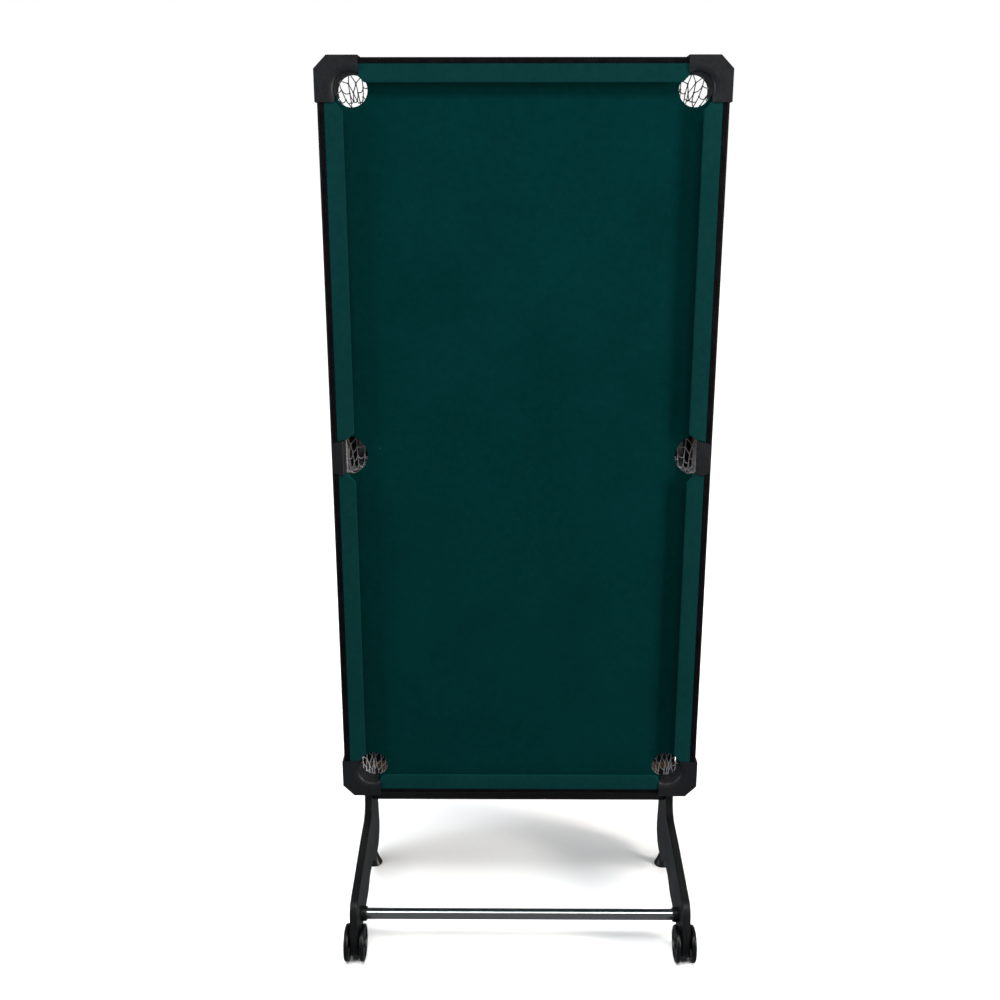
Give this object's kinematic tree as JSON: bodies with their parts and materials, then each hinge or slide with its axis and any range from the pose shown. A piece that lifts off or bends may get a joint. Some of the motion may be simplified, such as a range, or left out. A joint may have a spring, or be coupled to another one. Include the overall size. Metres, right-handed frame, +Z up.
{
  "type": "folding pool table",
  "caption": "Folding pool table stored upright: cloth-covered bed with net pockets, tilting on a wheeled base, with folding rear legs.",
  "frame": {"origin": "on the floor, under the middle of the object's box in its upright storage position", "axes": "+Z up, -Y the way the playing face looks, +X to the right of someone who looks at the playing face"},
  "size_m": [0.934, 0.5428, 2.1999],
  "materials": {
    "baize": "napped dark teal-green billiard cloth",
    "cushion_cloth": "napped teal-green billiard cloth over rubber",
    "rail_vinyl": "board wrapped in satin black vinyl",
    "casting_plastic": "fine-textured moulded charcoal plastic",
    "raw_board": "raw medium-density fibreboard with black vinyl outside",
    "net_cord": "braided white-grey cord",
    "leg_paint": "satin charcoal lacquer",
    "chrome": "polished",
    "wheel_plastic": "satin moulded black",
    "foot_plastic": "matt moulded black",
    "knob_plastic": "matt moulded black",
    "zinc_steel": "zinc plated"
  },
  "bodies": {
    "base": {"base_leg_left": "leg_paint", "base_leg_right": "leg_paint", "base_bar": "chrome", "base_beam": "leg_paint", "base_bar_ferrule_left": "leg_paint", "base_bar_ferrule_right": "leg_paint", "wheel_axle_left": "zinc_steel", "wheel_axle_right": "zinc_steel", "tilt_nut_left": "zinc_steel", "tilt_nut_right": "zinc_steel"},
    "table": {"playfield_bed": "raw_board", "apron_foot": "raw_board", "apron_head": "raw_board", "apron_left": "raw_board", "apron_right": "raw_board", "batten_foot": "raw_board", "batten_head": "raw_board", "bed_cloth": "baize", "cushion_foot": "cushion_cloth", "cushion_head": "cushion_cloth", "cushion_left_foot": "cushion_cloth", "cushion_left_head": "cushion_cloth", "cushion_right_foot": "cushion_cloth", "cushion_right_head": "cushion_cloth", "rail_trim_foot": "rail_vinyl", "rail_trim_head": "rail_vinyl", "rail_trim_left": "rail_vinyl", "rail_trim_right": "rail_vinyl", "corner_casting_foot_left": "casting_plastic", "corner_casting_head_left": "casting_plastic", "corner_casting_foot_right": "casting_plastic", "corner_casting_head_right": "casting_plastic", "side_casting_left": "casting_plastic", "side_casting_right": "casting_plastic", "pocket_net_foot_left": "net_cord", "pocket_net_head_left": "net_cord", "pocket_net_foot_right": "net_cord", "pocket_net_head_right": "net_cord", "pocket_net_side_left": "net_cord", "pocket_net_side_right": "net_cord"},
    "fold_legs": {"fold_leg_left": "leg_paint", "fold_leg_right": "leg_paint", "fold_bar": "chrome", "fold_bar_ferrule_left": "leg_paint", "fold_bar_ferrule_right": "leg_paint", "fold_nut_left": "zinc_steel", "fold_nut_right": "zinc_steel"},
    "wheel_left_inner": {"wheel_left_inner": "wheel_plastic"},
    "wheel_left_outer": {"wheel_left_outer": "wheel_plastic"},
    "wheel_right_inner": {"wheel_right_inner": "wheel_plastic"},
    "wheel_right_outer": {"wheel_right_outer": "wheel_plastic"},
    "base_foot_left": {"base_foot_left": "foot_plastic"},
    "base_foot_right": {"base_foot_right": "foot_plastic"},
    "fold_foot_left": {"fold_foot_left": "foot_plastic"},
    "fold_foot_right": {"fold_foot_right": "foot_plastic"},
    "tilt_knob_left": {"tilt_knob_left": "knob_plastic"},
    "tilt_knob_right": {"tilt_knob_right": "knob_plastic"},
    "fold_knob_left": {"fold_knob_left": "knob_plastic"},
    "fold_knob_right": {"fold_knob_right": "knob_plastic"}
  },
  "joints": [
    {"name": "table_tilt", "type": "hinge", "parent": "base", "child": "table", "pos_m": [0, 0.052, 0.715], "axis": [-1, 0, 0], "range_deg": [0, 90]},
    {"name": "legs_fold", "type": "hinge", "parent": "table", "child": "fold_legs", "pos_m": [0, 0.052, 1.845], "axis": [1, 0, 0], "range_deg": [0, 90]},
    {"name": "wheel_left_inner_spin", "type": "hinge", "parent": "base", "child": "wheel_left_inner", "pos_m": [-0.4022, -0.2249, 0.0465], "axis": [1, 0, 0], "continuous": true},
    {"name": "wheel_left_outer_spin", "type": "hinge", "parent": "base", "child": "wheel_left_outer", "pos_m": [-0.4422, -0.2249, 0.0465], "axis": [1, 0, 0], "continuous": true},
    {"name": "wheel_right_inner_spin", "type": "hinge", "parent": "base", "child": "wheel_right_inner", "pos_m": [0.4022, -0.2249, 0.0465], "axis": [1, 0, 0], "continuous": true},
    {"name": "wheel_right_outer_spin", "type": "hinge", "parent": "base", "child": "wheel_right_outer", "pos_m": [0.4422, -0.2249, 0.0465], "axis": [1, 0, 0], "continuous": true},
    {"name": "base_foot_left_extend", "type": "slide", "parent": "base", "child": "base_foot_left", "axis": [0, 0, -1], "range_m": [0, 0.012]},
    {"name": "base_foot_right_extend", "type": "slide", "parent": "base", "child": "base_foot_right", "axis": [0, 0, -1], "range_m": [0, 0.012]},
    {"name": "fold_foot_left_extend", "type": "slide", "parent": "fold_legs", "child": "fold_foot_left", "axis": [0, 0, -1], "range_m": [0, 0.012]},
    {"name": "fold_foot_right_extend", "type": "slide", "parent": "fold_legs", "child": "fold_foot_right", "axis": [0, 0, -1], "range_m": [0, 0.012]},
    {"name": "tilt_knob_left_turn", "type": "hinge", "parent": "table", "child": "tilt_knob_left", "pos_m": [-0.4478, 0.052, 0.715], "axis": [-1, 0, 0], "range_deg": [0, 270]},
    {"name": "tilt_knob_right_turn", "type": "hinge", "parent": "table", "child": "tilt_knob_right", "pos_m": [0.4478, 0.052, 0.715], "axis": [1, 0, 0], "range_deg": [0, 270]},
    {"name": "fold_knob_left_turn", "type": "hinge", "parent": "table", "child": "fold_knob_left", "pos_m": [-0.4478, 0.052, 1.845], "axis": [-1, 0, 0], "range_deg": [0, 270]},
    {"name": "fold_knob_right_turn", "type": "hinge", "parent": "table", "child": "fold_knob_right", "pos_m": [0.4478, 0.052, 1.845], "axis": [1, 0, 0], "range_deg": [0, 270]}
  ]
}
